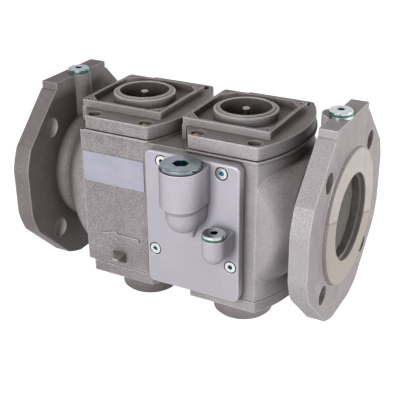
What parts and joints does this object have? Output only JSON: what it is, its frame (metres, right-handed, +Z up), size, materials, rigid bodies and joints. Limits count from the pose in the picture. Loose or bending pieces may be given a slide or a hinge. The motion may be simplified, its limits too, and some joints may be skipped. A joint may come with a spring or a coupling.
{
  "type": "double gas valve",
  "caption": "Flanged cast aluminium gas valve with two spring-closed discs in line, open actuator sockets on top, spring cups below and a bolted side plate with screw plugs.",
  "frame": {"origin": "centre of the inlet sealing face, on the flow axis", "axes": "+X along the flow axis out of the inlet, +Z up along the valve stems, -Y towards the side plate"},
  "size_m": [0.29, 0.1965, 0.2138],
  "materials": {
    "cast_aluminium": "sand cast, matt",
    "die_cast_aluminium": "die cast, satin",
    "machined_aluminium": "turned",
    "zinc_steel": "bright zinc plated",
    "stainless": "ground",
    "spring_steel": "drawn wire",
    "dark_steel": "matt",
    "strainer_wire": "woven wire",
    "bronze": "sintered",
    "black_rubber": "matt",
    "green_seal": "satin",
    "label_film": "satin, blank"
  },
  "bodies": {
    "housing": {"valve_housing": "cast_aluminium", "bonnet_1": "cast_aluminium", "bonnet_gasket_1": "black_rubber", "bonnet_screws_1": "zinc_steel", "bottom_cover_1": "cast_aluminium", "cover_gasket_1": "black_rubber", "cover_screws_1": "zinc_steel", "seat_ring_1": "machined_aluminium", "stem_bush_1": "bronze", "stem_seal_1": "black_rubber", "closing_spring_1": "spring_steel", "bonnet_2": "cast_aluminium", "bonnet_gasket_2": "black_rubber", "bonnet_screws_2": "zinc_steel", "bottom_cover_2": "cast_aluminium", "cover_gasket_2": "black_rubber", "cover_screws_2": "zinc_steel", "seat_ring_2": "machined_aluminium", "stem_bush_2": "bronze", "stem_seal_2": "black_rubber", "closing_spring_2": "spring_steel", "side_plate": "die_cast_aluminium", "plate_gasket": "black_rubber", "plate_screws": "zinc_steel", "large_plug": "zinc_steel", "large_seal": "black_rubber", "small_plug": "zinc_steel", "small_seal": "green_seal", "inlet_test_plug": "zinc_steel", "inlet_test_seal": "green_seal", "outlet_test_plug": "zinc_steel", "outlet_test_seal": "green_seal", "inlet_test_washer": "zinc_steel", "strainer_mesh": "strainer_wire", "strainer_ring": "dark_steel", "rating_label": "label_film"},
    "valve_1": {"valve_stem_1": "stainless", "valve_disc_1": "machined_aluminium", "disc_seal_1": "black_rubber", "clamp_plate_1": "stainless", "disc_nut_1": "zinc_steel"},
    "valve_2": {"valve_stem_2": "stainless", "valve_disc_2": "machined_aluminium", "disc_seal_2": "black_rubber", "clamp_plate_2": "stainless", "disc_nut_2": "zinc_steel"}
  },
  "joints": [
    {"name": "valve_1_lift", "type": "slide", "parent": "housing", "child": "valve_1", "axis": [0, 0, -1], "range_m": [0, 0.018], "stiffness_N_per_m": 2000, "springref_m": -0.02, "deforming": ["closing_spring_1"]},
    {"name": "valve_2_lift", "type": "slide", "parent": "housing", "child": "valve_2", "axis": [0, 0, -1], "range_m": [0, 0.018], "stiffness_N_per_m": 2000, "springref_m": -0.02, "deforming": ["closing_spring_2"]}
  ]
}
